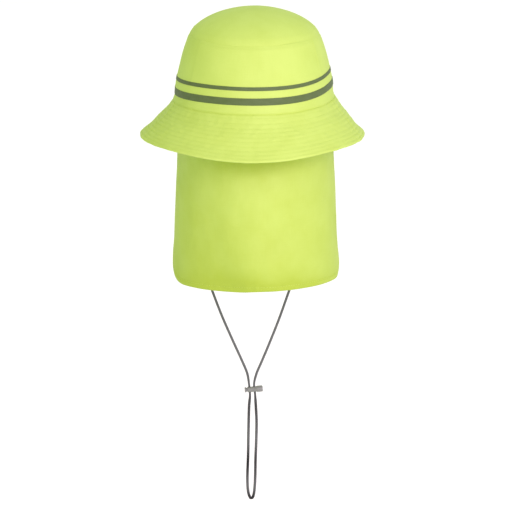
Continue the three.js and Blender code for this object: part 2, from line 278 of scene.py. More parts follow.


# %% [markdown]
# ## The chin cord's route
# The cord is one length of round elastic. It leaves a small tab inside the crown, runs down and in to the
# cord lock, makes a long narrow loop below it, and goes back up to the other tab. Elastic this thin hangs
# almost straight, so the route is a short list of places that it passes.

# %% Route and lock places
CORD_DIAMETER = 2.3 * MM
CORD_STEP = 0.5 * MM
TAB_ANGLE = math.radians(108)
TAB_WIDTH, TAB_DEPTH = 10 * MM, 3 * MM
TAB_TOP, TAB_BOTTOM = 9 * MM, -8 * MM
CROWN_AT_TABS = 82.7 * MM
TAB_RADIUS = CROWN_AT_TABS - CROWN_CLOTH - SEAM_GAP - TAB_DEPTH / 2
TAB_X, TAB_Y, _ = oval(TAB_ANGLE, TAB_RADIUS, 0)
LOCK_TILT = math.radians(5)
# In millimetres: the lock's middle, its two holes along the barrel, and the route's places, x and z
LOCK_X, LOCK_Z = 1.2, -318.6
STRAND_LEFT, STRAND_RIGHT = -6, -0.5


def in_lock(x, z):
    """A place in the tilted lock, in millimetres: x along the barrel, z along its two holes."""
    cos, sin = math.cos(LOCK_TILT), math.sin(LOCK_TILT)
    return LOCK_X + x * cos - z * sin, LOCK_Z + x * sin + z * cos


CORD_START = (TAB_BOTTOM - SEAM_GAP) / MM
CORD_ROUTE = [
    (-TAB_X / MM, CORD_START), (-76.4, -34), (-74.4, -68), (-70, -106), (-63, -146),
    (-53.8, -184), (-43.3, -214.4), (-33.3, -240.6), (-22, -266.8), (-12.4, -288.4),
    (-7.2, -301.5),
    in_lock(STRAND_LEFT, 6), in_lock(STRAND_LEFT, -6),
    (-5.2, -337), (-5.9, -365), (-6.3, -392), (-7, -412), (-7, -422.5), (-6.4, -431),
    (-5.2, -436.4), (-3.6, -439.2), (-1.6, -438.9), (-0.2, -435), (0.7, -428), (1.4, -415),
    (1.7, -396), (2.5, -374), (2.8, -354), (2, -337),
    in_lock(STRAND_RIGHT, -6), in_lock(STRAND_RIGHT, 6),
    (2.8, -301.5), (8, -289), (17.1, -266.8), (27.2, -240.6), (36.3, -214.4), (47.4, -183),
    (59, -144), (68.4, -103), (74.4, -62), (TAB_X / MM, CORD_START),
]


def smooth_route():
    """The route in metres, as evenly spaced points on a smooth curve, and its length."""
    places = np.array([(x * MM, TAB_Y, z * MM) for x, z in CORD_ROUTE])
    strides = np.sqrt(np.linalg.norm(np.diff(places, axis=0), axis=1))
    stations = np.concatenate([[0], np.cumsum(strides)])
    fine = np.linspace(0, stations[-1], 6000)
    curve = np.stack([smooth(fine, stations, places[:, axis]) for axis in range(3)], axis=-1)
    along = run_along(curve)
    return on_path(np.linspace(0, along[-1], int(along[-1] / CORD_STEP) + 1), along, curve), along[-1]


cord_path, CORD_LENGTH = smooth_route()
print("cord:", round(CORD_LENGTH, 3), "m long,", len(cord_path), "steps")


# %% [markdown]
# ## Finish: hi-vis cloth
# The hat is sewn from a matt fluorescent polyester and cotton cloth of a green yellow. Close up it is a
# plain weave of threads a third of a millimetre wide, none of them quite even. The shader builds it from
# two crossing sets of waves in the cloth's flat coordinates for the bump, long thin streaks for uneven
# threads both ways, and a broad faint mottle. Painted shade is mixed in as well: a mark pulls the colour
# towards a deeper one in seam lines, stitch grooves, hollows, the curled hem and under the brim.

# %% Finish helpers
HI_VIS = (0.438, 0.61, 0.113)
# The deeper colour serves both the random tone and the painted shade.
HI_VIS_DEEP_TONE_AND_SHADE = (0.328, 0.466, 0.04)
THREAD_PITCH, SEWING_THREAD_PITCH = 0.36 * MM, 0.25 * MM
# How many streaks, and spots of mottle, lie in a metre of cloth
LONG_STREAKS, FINE_STREAKS, MOTTLE_SPOTS = 60, 1800, 28


def new_finish(name, roughness, specular):
    """An empty material: the material, its node tree and its shader."""
    material = bpy.data.materials.new(name)
    material.use_nodes = True
    shader = material.node_tree.nodes["Principled BSDF"]
    shader.inputs["Roughness"].default_value = roughness
    shader.inputs["Specular IOR Level"].default_value = specular
    return material, material.node_tree, shader


def plug(tree, socket, value):
    """Links a socket, or sets a number or a colour."""
    if isinstance(value, bpy.types.NodeSocket):
        tree.links.new(value, socket)
    elif isinstance(value, tuple):
        socket.default_value = (*value, 1)
    elif value is not None:
        socket.default_value = value


def add_node(tree, kind, inputs=None):
    """A new node, with its inputs linked or set by name or number."""
    node = tree.nodes.new("ShaderNode" + kind)
    for socket, value in (inputs or {}).items():
        plug(tree, node.inputs[socket], value)
    return node


def calculate(tree, kind, first, second=None):
    node = add_node(tree, "Math", {0: first, 1: second})
    node.operation = kind
    return node.outputs[0]


def mix_colours(tree, share, first, second):
    node = add_node(tree, "Mix", {"Factor": share, 6: first, 7: second})
    node.data_type = "RGBA"
    return node.outputs[2]


def add_bump(tree, shader, height, depth, strength):
    bump = add_node(tree, "Bump", {"Height": height, "Distance": depth, "Strength": strength})
    plug(tree, shader.inputs["Normal"], bump.outputs[0])


def flat_cloth(tree):
    """The flat coordinates of the cloth, and each of the two on its own, in metres."""
    flat = add_node(tree, "UVMap")
    flat.uv_map = "flat_cloth"
    split = add_node(tree, "SeparateXYZ", {0: flat.outputs[0]})
    return flat.outputs[0], split.outputs[0], split.outputs[1]


def noise(tree, place, scale, detail=2.0):
    return add_node(tree, "TexNoise", {"Vector": place, "Scale": scale, "Detail": detail}).outputs["Fac"]


def streaks(tree, flat, first_scale, second_scale, detail=2.0):
    """Noise in the cloth's flat coordinates, with its own scale each way."""
    mapping = add_node(tree, "Mapping", {0: flat})
    mapping.inputs["Scale"].default_value = (first_scale, second_scale, 1)
    return noise(tree, mapping.outputs[0], 1, detail)


def mark_value(tree, name):
    node = add_node(tree, "Attribute")
    node.attribute_name = name
    return node.outputs["Fac"]


# %% Cloth finish
def cloth_finish(name, pitch, roughness):
    """Cloth, whose weave has crests where one thread goes over the other."""
    material, tree, shader = new_finish(name, roughness, 0.25)
    flat, *ways = flat_cloth(tree)
    crosswise = streaks(tree, flat, LONG_STREAKS, FINE_STREAKS)
    lengthwise = streaks(tree, flat, FINE_STREAKS, LONG_STREAKS)
    threads = calculate(tree, "ADD", crosswise, lengthwise)
    mottle = streaks(tree, flat, MOTTLE_SPOTS, MOTTLE_SPOTS, 3.0)
    uneven = calculate(tree, "ADD", calculate(tree, "MULTIPLY", threads, 0.35), mottle)
    share = calculate(tree, "MULTIPLY", calculate(tree, "SUBTRACT", uneven, 0.7), 0.6)
    # Painted shade: the mark pulls the colour further towards the deeper one.
    share = calculate(tree, "ADD", share, mark_value(tree, "painted_shade"))
    plug(tree, shader.inputs["Base Color"], mix_colours(tree, share, HI_VIS, HI_VIS_DEEP_TONE_AND_SHADE))
    waves = [calculate(tree, "SINE", calculate(tree, "MULTIPLY", way, math.pi / pitch)) for way in ways]
    weave = calculate(tree, "MULTIPLY", calculate(tree, "MULTIPLY", *waves), 0.5)
    add_bump(tree, shader, calculate(tree, "ADD", weave, threads), 0.04 * MM, 0.5)
    rough = calculate(tree, "MULTIPLY", mottle, 0.2)
    plug(tree, shader.inputs["Roughness"], calculate(tree, "ADD", rough, roughness - 0.1))
    return material


hi_vis_cloth = cloth_finish("hi_vis_cloth", THREAD_PITCH, 0.65)
hi_vis_thread = cloth_finish("hi_vis_thread", SEWING_THREAD_PITCH, 0.55)
print("cloth threads every", THREAD_PITCH / MM, "mm")


# %% [markdown]
# ## Helpers: seams and small lumps
# Beside a seam, cloth swells over its folded edge and dips at the seam line itself. Sewn cloth is never
# quite even, so one helper gives a smooth random field that closes on itself round the hat. Its seed keeps
# the lumps the same each time.

# %% Seams and lumps
FOLDED_EDGE, FOLD_REACH, DIP_REACH = 2.2 * MM, 2 * MM, 0.9 * MM
SEAM_LINE = 1 * MM
# How much painted shade darkens the colour along a seam line.
PAINTED_SHADE_AT_SEAM = 0.05


def seam_relief(distance, swell, dip):
    return swell * bump_at(distance - FOLDED_EDGE, FOLD_REACH) - dip * bump_at(distance, DIP_REACH)


def lumps(turn, along, lumps_round, seed):
    """Smooth random heights from -1 to 1. turn is a share of the way round, and along counts lumps."""
    lattice = np.random.default_rng(seed).uniform(-1, 1, (lumps_round, 256))
    x, y = (turn % 1) * lumps_round, along + 8
    column, row = np.floor(x).astype(int), np.floor(y).astype(int)
    fx, fy = x - column, y - row
    fx, fy = fx * fx * (3 - 2 * fx), fy * fy * (3 - 2 * fy)
    a, b = column % lumps_round, (column + 1) % lumps_round
    top = lattice[a, row] * (1 - fx) + lattice[b, row] * fx
    bottom = lattice[a, row + 1] * (1 - fx) + lattice[b, row + 1] * fx
    return top * (1 - fy) + bottom * fy


def lumpy(sizes, angle, along):
    """Lumps of several sizes: each has a height in millimetres, its counts along and round, and a seed."""
    turn = angle / (2 * math.pi)
    return sum(high * MM * lumps(turn, along * rows, columns, seed) for high, rows, columns, seed in sizes)


def round_the_hat(columns, rows):
    """Two grids: angles all the way round, starting at the front, and the given row shares."""
    angles = np.linspace(-math.pi, math.pi, columns, endpoint=False)
    return np.meshgrid(angles, rows)


def flat_round(angle, radius, along):
    """Flat coordinates for a grid that goes round the hat at about this radius."""
    return close_columns(np.stack([angle * radius, along], axis=-1), 2 * math.pi * radius)


# %% [markdown]
# ## Crown side
# The crown's side is a band of cloth that leans in towards the top. It is one grid: the rows follow the
# profile table and the columns go round. The seams are part of its relief: one at each edge, and two
# upright ones where the back panel meets the front one.

# %% Crown side
SIDE_HEIGHTS = [0, 3, 18, 35, 50, 61, 67, 70.5]
SIDE_RADII = [84.9, 83.8, 82.4, 78.9, 75.3, 71.9, 69.7, 67.8]
SIDE_TOP = SIDE_HEIGHTS[-1] * MM
PANEL_SEAMS = [math.radians(-55), math.radians(59)]
PANEL_SWELL, PANEL_EDGE, PANEL_REACH = 0.2 * MM, 2 * MM, 3 * MM
PANEL_DIP, PANEL_LINE = 0.15 * MM, 0.8 * MM
MEAN_SIDE_RADIUS = 80 * MM
BRIM_SEAM = (0.25 * MM, 0.45 * MM)
TOP_SEAM = (0.05 * MM, 0.07 * MM)
# The width of the brim seam's line, and how much painted shade darkens it.
BRIM_SEAM_LINE, PAINTED_SHADE_AT_BRIM_SEAM = 1.2 * MM, 0.4
SIDE_LUMPS = [(0.3, 3, 20, 11), (0.08, 9, 60, 12)]
SIDE_COLUMNS, SIDE_ROWS = 600, 60
CROWDED_AT_SEAMS = 0.4


def top_seam_dip(angle):
    return TOP_SEAM_DIP * np.cos(angle) ** 2


def crown_point(angle, radius, height):
    place = oval(angle, radius, height)
    place[..., 0] += CROWN_LEAN * height / CROWN_HEIGHT
    return place


def crown_side_point(angle, height):
    """A point of the crown's side at a height above the brim seam."""
    share = height / SIDE_TOP
    lift = lift_at(angle, SEAM_LIFT) * (1 - share) - top_seam_dip(angle) * share
    radius = smooth(height / MM, SIDE_HEIGHTS, SIDE_RADII) * MM
    return crown_point(angle, radius, height + lift)


def side_lumps(angle, height):
    return lumpy(SIDE_LUMPS, angle, height / SIDE_TOP)


def make_crown_side():
    share = np.linspace(0, 1, SIDE_ROWS)
    closer_at_seams = (1 - np.cos(share * math.pi)) / 2
    share = closer_at_seams * CROWDED_AT_SEAMS + share * (1 - CROWDED_AT_SEAMS)
    angle, share = round_the_hat(SIDE_COLUMNS, share)
    height = share * SIDE_TOP
    relief = seam_relief(height, *BRIM_SEAM) + seam_relief(SIDE_TOP - height, *TOP_SEAM)
    relief += side_lumps(angle, height)
    # Painted shade darkens the colour along the brim seam, the top seam and the two upright seams.
    painted_shade = PAINTED_SHADE_AT_BRIM_SEAM * bump_at(height, BRIM_SEAM_LINE)
    painted_shade += PAINTED_SHADE_AT_SEAM * bump_at(SIDE_TOP - height, SEAM_LINE)
    for seam in PANEL_SEAMS:
        distance = (angle - seam) * MEAN_SIDE_RADIUS
        on_line = bump_at(distance, PANEL_LINE)
        relief += PANEL_SWELL * bump_at(distance - PANEL_EDGE, PANEL_REACH) - PANEL_DIP * on_line
        painted_shade += PAINTED_SHADE_AT_SEAM * on_line
    grid = raised(crown_side_point(angle, height), relief)
    flat = flat_round(angle, MEAN_SIDE_RADIUS, height)
    return cloth_wall("crown_side_cloth", grid, flat, CROWN_CLOTH, painted_shade, hi_vis_cloth), grid


crown_side, side_grid = make_crown_side()


# %% [markdown]
# ## Crown top
# The top is one oval panel, slightly domed. Its rows run from the rim to the middle, where they meet in one
# point. Its weave is laid straight across, because the panel was cut from flat cloth.

# %% Crown top
TOP_RADII = [67.6, 64.6, 59, 52, 43, 32, 19, 0]
TOP_HEIGHTS = [70.8, 75.4, 80.8, 85.6, 90, 93.8, 96.8, 98.2]
TOP_LUMPS = [(0.3, 4, 9, 21)]
RIM_SLOPE = 1.8
TOP_COLUMNS, TOP_ROWS = 360, 52
CROWDED_AT_RIM = 0.9


def make_crown_top():
    angle, share = round_the_hat(TOP_COLUMNS, np.linspace(0, 1, TOP_ROWS) ** CROWDED_AT_RIM)
    radius = (1 - share) * TOP_RADII[0]
    height = smooth(radius, TOP_RADII[::-1], TOP_HEIGHTS[::-1]) * MM
    height = height - top_seam_dip(angle) * (1 - share) ** 2
    grid = crown_point(angle, radius * MM, height)
    from_seam = (TOP_RADII[0] - radius) * MM * RIM_SLOPE
    grid = raised(grid, seam_relief(from_seam, *TOP_SEAM) + lumpy(TOP_LUMPS, angle, share) * (1 - share))
    # Painted shade along the top seam.
    painted_shade = PAINTED_SHADE_AT_SEAM * bump_at(from_seam, SEAM_LINE)
    flat = close_columns(grid[..., :2])
    piece = cloth_wall("crown_top_cloth", grid, flat, CROWN_CLOTH, painted_shade, hi_vis_cloth, pole=True)
    return piece, grid


crown_top, top_grid = make_crown_top()


# %% [markdown]
# ## Brim
# The brim is two layers of cloth with a stiff core between them, sewn through in ten rings. Each ring pulls
# both faces in, so the cloth between two rings puffs out, on top and underneath alike. The thread also
# gathers the cloth, which leaves short puckers across the channels. A back and a front half meet in a seam
# at each side, where there are more layers, so the channels puff out more there.

# %% Brim
BRIM_REACH = 32.3 * MM
BRIM_SIDE_DROP = 34.5 * MM
BRIM_END_DROP = 42 * MM
BRIM_SHIFT_X = -1.6 * MM
BRIM_OUT = [0, 0.18, 0.45, 0.74, 1]
BRIM_DOWN = [0, 0.23, 0.49, 0.78, 1]
BRIM_WIDTH = 50 * MM
BRIM_RINGS = 10
FIRST_RING = 0.055
RING_SPACING = 1 / BRIM_RINGS
CHANNEL_PUFF, PUFF_ROUNDING = 0.17 * MM, 0.8
PUCKERS, PUCKER_AT_THREAD = [(0.34, 0.9, 120, 31)], 0.35
BRIM_WAVES = [(0.5, 0.3, 18, 32)]
# How much painted shade darkens the stitch grooves and the seam at the crown.
PAINTED_SHADE_AT_THREAD, PAINTED_SHADE_AT_CROWN = 0.1, 0.3
MEAN_BRIM_RADIUS = 108 * MM
BRIM_SIDE_SEAMS = [math.radians(-75), math.radians(75)]
SIDE_SEAM_RADIUS = 101 * MM
FULLER_AT_SEAM, FULLER_REACH = 1.8, math.radians(15)
SIDE_SEAM_SWELL, SWELL_BESIDE, SWELL_REACH = 0.5 * MM, 4 * MM, 3 * MM
SIDE_SEAM_DIP, SIDE_SEAM_LINE, SIDE_SEAM_PAINTED_SHADE = 0.5 * MM, 1.6 * MM, 0.15
BRIM_COLUMNS, BRIM_ROWS = 550, 86


def brim_point(angle, out):
    more_drop = (BRIM_END_DROP - BRIM_SIDE_DROP) * np.cos(angle) ** 4
    lift = lift_at(angle, SEAM_LIFT) * (1 - out)
    height = lift - SEAM_GAP - (BRIM_SIDE_DROP + more_drop) * smooth(out, BRIM_OUT, BRIM_DOWN)
    place = oval(angle, SIDE_RADII[0] * MM + BRIM_REACH * out, height)
    place[..., 0] += BRIM_SHIFT_X * out
    return place


def make_brim():
    angle, out = round_the_hat(BRIM_COLUMNS, np.linspace(0, 1, BRIM_ROWS))
    channel = (out - FIRST_RING) / RING_SPACING
    puff = np.abs(np.sin(math.pi * channel)) ** PUFF_ROUNDING
    gathered = lumpy(PUCKERS, angle, channel) * (PUCKER_AT_THREAD + (1 - PUCKER_AT_THREAD) * puff)
    wave = lumpy(BRIM_WAVES, angle, channel)
    # Painted shade: darker in the stitch grooves between the channels and along the seam at the crown.
    painted_shade = PAINTED_SHADE_AT_THREAD * (1 - puff) ** 3 + PAINTED_SHADE_AT_CROWN * bump_at(out * BRIM_WIDTH, SEAM_LINE)
    fuller = 1 + 0 * angle
    for seam in BRIM_SIDE_SEAMS:
        fuller += FULLER_AT_SEAM * bump_at(angle - seam, FULLER_REACH)
        from_seam = (angle - seam) * SIDE_SEAM_RADIUS
        on_line = bump_at(from_seam, SIDE_SEAM_LINE)
        beside = bump_at(np.abs(from_seam) - SWELL_BESIDE, SWELL_REACH)
        wave += SIDE_SEAM_SWELL * beside * puff - SIDE_SEAM_DIP * on_line
        # Painted shade along the side seam line.
        painted_shade += SIDE_SEAM_PAINTED_SHADE * on_line
    half_swell = CHANNEL_PUFF * puff * fuller + 0.5 * gathered
    grid = raised(brim_point(angle, out), half_swell + 0.5 * gathered + wave)
    flat = flat_round(angle, MEAN_BRIM_RADIUS, out * BRIM_WIDTH)
    thickness = BRIM_CLOTH + 2 * half_swell
    return cloth_wall("brim_cloth", grid, flat, thickness, painted_shade, hi_vis_cloth), grid


brim, brim_grid = make_brim()


# %% [markdown]
# ## Neck flap
# The flap is a single curtain of cloth, sewn inside the crown and hemmed round its free edge. It hangs from
# the head's back half, so it is round at the top and flatter below. A deep fold and a shallow one run down
# it, and soft swells and a hollow cross them where the cloth leans out or falls back. The hem is a doubled
# strip round the edge, and it curls under. Painted shade darkens the colour towards the hem, in the fold's
# hollow, where the hem curls under, along the hem's stitch line and just under the brim.

# %% Flap sizes
FLAP_HALF_ANGLE = math.radians(100)
FLAP_TOP = 9 * MM
FLAP_BOTTOM = -186.6 * MM
FLAP_CORNER = {"left": 62 * MM, "right": 48 * MM}
FLAP_HEM_TILT = 2 * MM
FLAP_HEIGHTS = [-185.4, -170, -148, -120, -92, -62, -32, -4, 9]
FLAP_RADII = [88.3, 87.7, 86.5, 85.3, 83.9, 82.5, 81.9, 81.6, 80.7]
FLAP_STRETCH = [12.5, 12.5, 12.5, 12.5, 13, 13.5, 15, 16, 16]
FLAP_SHIFT = [1.7, 1.7, 1.4, 1.3, 1.5, 1.5, 0.9, 0, 0]
EDGE_RADIUS = FLAP_RADII[0] * MM + HEAD_STRETCH / 2
SIDE_EDGE = 185 * MM
HEM_WIDTH, HEM_STEP = 6 * MM, 0.4 * MM
# Where the hem's stitches run, and how much painted shade darkens that line.
HEM_STITCHES, PAINTED_SHADE_AT_STITCHES = 4.8 * MM, 0.3
HEM_RISE, HEM_LINE = 0.4 * MM, 0.8 * MM
FOLD_DROP = 0.16
CURL_WIDTH = 34 * MM
CURL_DEPTH = 7 * MM
# How much painted shade darkens the flap: at the top, at the hem, in the curl, in the hollow and under the
# brim.
PAINTED_SHADE_AT_TOP, PAINTED_SHADE_AT_HEM = 0.05, 0.5
PAINTED_SHADE_IN_CURL, PAINTED_SHADE_IN_HOLLOW, PAINTED_SHADE_UNDER_BRIM = 0.8, 0.25, 0.8
DEEPEST_HOLLOW = 10 * MM
UNDER_BRIM, UNDER_BRIM_REACH = -50 * MM, 14 * MM
FLAP_LUMPS = [(0.3, 8, 34, 41), (0.1, 24, 90, 42)]
HEM_PUCKERS, HEM_PUCKER_REACH = [(0.25, 2, 150, 43)], 4 * MM
FLAP_COLUMNS, FLAP_ROWS = 240, 150
CROWDED_AT_HEM = 0.92
# A fold's degrees at the top and at the hem, its widths to the left and right, and its millimetres out
FOLDS = [(-52, -26, 36, 22, -10), (36, 34, 13, 13, -1.6)]
# A swell's degrees and millimetres up, its width and its reach in the same, and its millimetres out
SWELLS = [(2, -82, 40, 22, 4.5), (22, -125, 18, 17, -2.4), (16, -152, 30, 20, 2)]


# %% Neck flap
def fold_at(angle, height):
    """How far the folds and swells stand out at an angle and height."""
    degrees = np.degrees(angle)
    down = np.clip(height / FLAP_BOTTOM, 0, 1)
    total = 0 * angle
    for at_top, at_hem, left, right, out in FOLDS:
        beside = degrees - at_top - (at_hem - at_top) * down
        total = total + out * down**2 * bump_at(beside, np.where(beside < 0, left, right))
    for at, level, width, reach, out in SWELLS:
        total = total + out * bump_at(degrees - at, width) * bump_at(height / MM - level, reach)
    return total * MM


def flap_edge_sizes(angle):
    """At an angle: how far the side edge is along the cloth, the corner's radius and the hem's level."""
    side = (FLAP_HALF_ANGLE - np.abs(angle)) * EDGE_RADIUS
    corner = np.where(angle < 0, FLAP_CORNER["left"], FLAP_CORNER["right"])
    level = FLAP_BOTTOM + FLAP_HEM_TILT * np.sin(angle) + FOLD_DROP * fold_at(angle, FLAP_BOTTOM)
    return side, corner, level


def hem_height(angle):
    side, corner, level = flap_edge_sizes(angle)
    past = np.clip(corner - side, 0, corner)
    return level + corner - np.sqrt(corner**2 - past**2)


def hem_distance(angle, height):
    """How far a point of the flap is from its free edge, measured on the cloth."""
    side, corner, level = flap_edge_sizes(angle)
    above = height - level
    in_corner = (side < corner) & (above < corner)
    return np.where(in_corner, corner - np.hypot(corner - side, corner - above), np.minimum(side, above))


def flap_point(angle, height):
    radius = smooth(height / MM, FLAP_HEIGHTS, FLAP_RADII) * MM + fold_at(angle, height)
    place = oval(angle, radius, height, smooth(height / MM, FLAP_HEIGHTS, FLAP_STRETCH) * MM)
    place[..., 0] += smooth(height / MM, FLAP_HEIGHTS, FLAP_SHIFT) * MM
    return place


def doubled_at(edge):
    """1 in the doubled hem strip, 0 in the single cloth above it."""
    return 1 / (1 + np.exp(np.clip((edge - HEM_WIDTH) / HEM_STEP, -30, 30)))


def near_hem(angle, edge):
    """How far the hem curls under: 1 at the free edge, fading inwards, and nothing at the sides."""
    return np.clip(1 - edge / CURL_WIDTH, 0, 1) ** 2 * np.clip(np.cos(angle), 0, 1) ** 2


def flap_surface(angle, height):
    """The outside face of the flap at a grid of angles and heights."""
    edge = hem_distance(angle, height)
    down = height / FLAP_BOTTOM
    relief = lumpy(FLAP_LUMPS, angle, down)
    relief += lumpy(HEM_PUCKERS, angle, down) * bump_at(edge - HEM_STITCHES, HEM_PUCKER_REACH)
    relief += HEM_RISE * (doubled_at(edge) - bump_at(edge - HEM_STITCHES, HEM_LINE))
    relief -= CURL_DEPTH * near_hem(angle, edge)
    return raised(flap_point(angle, height), relief, around=False)


def make_flap():
    columns, rows = np.linspace(-1, 1, FLAP_COLUMNS), np.linspace(0, 1, FLAP_ROWS) ** CROWDED_AT_HEM
    across, share = np.meshgrid(columns, rows)
    angle = FLAP_HALF_ANGLE * (0.5 * across + 0.5 * np.sin(across * math.pi / 2))
    height = FLAP_TOP + (hem_height(angle) - FLAP_TOP) * share
    edge = hem_distance(angle, height)
    # Painted shade: darker towards the hem, in the curl, along the stitch line, in the fold's hollow and in
    # the brim's shadow.
    painted_shade = PAINTED_SHADE_AT_TOP + (PAINTED_SHADE_AT_HEM - PAINTED_SHADE_AT_TOP) * share
    painted_shade += PAINTED_SHADE_IN_CURL * near_hem(angle, edge)
    painted_shade += PAINTED_SHADE_AT_STITCHES * bump_at(edge - HEM_STITCHES, HEM_LINE)
    painted_shade += PAINTED_SHADE_IN_HOLLOW * np.clip(-fold_at(angle, height) / DEEPEST_HOLLOW, 0, 1)
    painted_shade += PAINTED_SHADE_UNDER_BRIM * bump_at(height - UNDER_BRIM, UNDER_BRIM_REACH) * np.cos(angle) ** 4
    flat = np.stack([angle * EDGE_RADIUS, height], axis=-1)
    thickness = FLAP_CLOTH + HEM_RISE * doubled_at(edge)
    grid = flap_surface(angle, height)
    return cloth_wall("neck_flap_cloth", grid, flat, thickness, painted_shade, hi_vis_cloth, around=False)


neck_flap = make_flap()


# %% [markdown]
# ## Stitches
# A machine seam is a row of short stitches, each a small arc of thread that dives into the cloth at both
# ends. Every stitch here is its own little closed body: four rings of five corners, with the end rings
# smaller and sunk. One helper sews any row along a path on the cloth.

# %% Sewing helpers
STITCH_PITCH = 3 * MM
STITCH_LENGTH = 2.35 * MM
THREAD_RADIUS = 0.18 * MM
THREAD_SIDES = 5
RING_ALONG = np.array([-0.5, -0.28, 0.28, 0.5])[:, None, None]
RING_UP = np.array([-1.2, 0.2, 0.2, -1.2])[:, None, None]
RING_SIZE = np.array([0.6, 1, 1, 0.6])[:, None, None]


def stitch_row(path, normals):
    """Corners of every stitch along a path, as an array of stitches, rings, sides and coordinates."""
    along, half = run_along(path), STITCH_LENGTH / 2
    count = max(1, int(along[-1] / STITCH_PITCH))
    middles = (np.arange(count) + 0.5) * along[-1] / count
    centre, normal = on_path(middles, along, path), unit(on_path(middles, along, normals))
    ahead = unit(on_path(middles + half, along, path) - on_path(middles - half, along, path))
    beside = unit(np.cross(ahead, normal))
    centre, normal, ahead, beside = (values[:, None, None] for values in (centre, normal, ahead, beside))
    turns = (np.arange(THREAD_SIDES) / THREAD_SIDES * 2 * math.pi)[:, None]
    rings = centre + STITCH_LENGTH * RING_ALONG * ahead + THREAD_RADIUS * RING_UP * normal
    return rings + THREAD_RADIUS * RING_SIZE * (np.cos(turns) * normal + np.sin(turns) * beside)


def sew(name, paths):
    """One piece with the stitches of several paths. A path is a pair: its points and their normals."""
    corners = np.concatenate([stitch_row(path, normals) for path, normals in paths])
    stitches, rings, sides = corners.shape[:3]
    base = (np.arange(stitches) * rings * sides)[:, None, None]
    i, j, below, beside = grid_faces(rings, sides)
    sleeve = np.stack([i * sides + j, i * sides + beside, below * sides + beside, below * sides + j], -1)
    ends = np.stack([np.arange(sides), np.arange(sides) + (rings - 1) * sides])
    faces = (base + sleeve).reshape(-1, 4).tolist() + (base + ends).reshape(-1, sides).tolist()
    places = corners.reshape(-1, 3)[np.concatenate([np.ravel(face) for face in faces])]
    flat = np.stack([places[:, 0] + places[:, 1], places[:, 2]], axis=-1)
    print(name, "has", stitches, "stitches")
    return build_mesh(name, corners, faces, hi_vis_thread, flat)


def row_path(grid, row, side=1, depth=0.0):
    """A path along a closed grid at a fractional row, with its normals. side -1 is the inside face."""
    low = min(int(row), len(grid) - 2)
    part = row - low
    path, normals = (values[low] * (1 - part) + values[low + 1] * part for values in (grid, facing(grid)))
    normals = unit(normals)
    path = path - depth * normals
    return close_columns(path[None])[0], side * close_columns(normals[None])[0]


# %% Sew the brim and the crown
ring_rows = [(FIRST_RING + ring * RING_SPACING) * (BRIM_ROWS - 1) for ring in range(BRIM_RINGS)]
brim_thread = sew("brim_stitches_top", [row_path(brim_grid, row) for row in ring_rows])
under_paths = [row_path(brim_grid, row, side=-1, depth=BRIM_CLOTH) for row in ring_rows]
under_thread = sew("brim_stitches_under", under_paths)
crown_thread = sew("crown_stitches", [row_path(side_grid, SIDE_ROWS - 5), row_path(top_grid, 2.2)])


# %% Sew the hem
def along_free_edge(sign, inside):
    """Angles and heights from the middle of the hem to the top of one side, a distance inside the edge."""
    corner = FLAP_CORNER["left" if sign < 0 else "right"]
    turn = np.radians(np.linspace(0, 90, 60))
    bottom = np.linspace(FLAP_HALF_ANGLE * EDGE_RADIUS, corner, 160)
    side = np.linspace(corner, SIDE_EDGE, 120)
    from_side = np.concatenate([bottom, corner - (corner - inside) * np.sin(turn), 0 * side + inside])
    above = np.concatenate([0 * bottom + inside, corner - (corner - inside) * np.cos(turn), side])
    angle = sign * (FLAP_HALF_ANGLE - from_side / EDGE_RADIUS)
    return angle, flap_edge_sizes(angle)[2] + above


def hem_path():
    """A path round the flap's free edge, and its normals, from a narrow strip along the stitch line."""
    strip = []
    for inside in (HEM_STITCHES - 1 * MM, HEM_STITCHES, HEM_STITCHES + 1 * MM):
        left, right = along_free_edge(-1, inside), along_free_edge(1, inside)
        strip.append([np.concatenate([one[::-1], other[1:]]) for one, other in zip(left, right)])
    angle, height = np.array(strip).transpose(1, 0, 2)
    surface = flap_surface(angle, height)
    return surface[1], facing(surface, around=False)[1]


flap_thread = sew("neck_flap_stitches", [hem_path()])


# %% [markdown]
# ## Reflective tapes
# Two narrow bands of grey reflective film go round the crown. Under soft light the film is a dull grey with
# a hint of the cloth's green in it, and tiny glass beads give it a fine grain. Each band is a thin ring
# with rounded edges that follows the crown's side. Both were sewn on askew, so they ride up at the right
# and down at the left.

# %% Tape finish and tapes
TAPE_GREY = (0.063, 0.104, 0.023)
TAPE_PALE = (0.102, 0.155, 0.057)
BEAD_SIZE = 0.25 * MM
TAPE_BANDS = {"reflective_tape_wide": (10, 17.2), "reflective_tape_narrow": (25.2, 28.9)}
TAPE_COLUMNS = 720
TAPE_ROWS = [0, 0.03, 0.08, 0.2, 0.4, 0.6, 0.8, 0.92, 0.97, 1]
TAPE_EDGE_DROP, TAPE_SINK = 0.2, 0.1 * MM


def tape_finish():
    material, tree, shader = new_finish("reflective_film", 0.6, 0.25)
    flat, _, _ = flat_cloth(tree)
    bead = add_node(tree, "TexVoronoi", {"Scale": 1 / BEAD_SIZE, "Vector": flat}).outputs["Distance"]
    patches = streaks(tree, flat, 90, 250, 3.0)
    share = calculate(tree, "ADD", calculate(tree, "MULTIPLY", bead, 0.5), patches)
    share = calculate(tree, "SUBTRACT", share, 0.35)
    plug(tree, shader.inputs["Base Color"], mix_colours(tree, share, TAPE_GREY, TAPE_PALE))
    add_bump(tree, shader, bead, 0.03 * MM, 0.6)
    return material


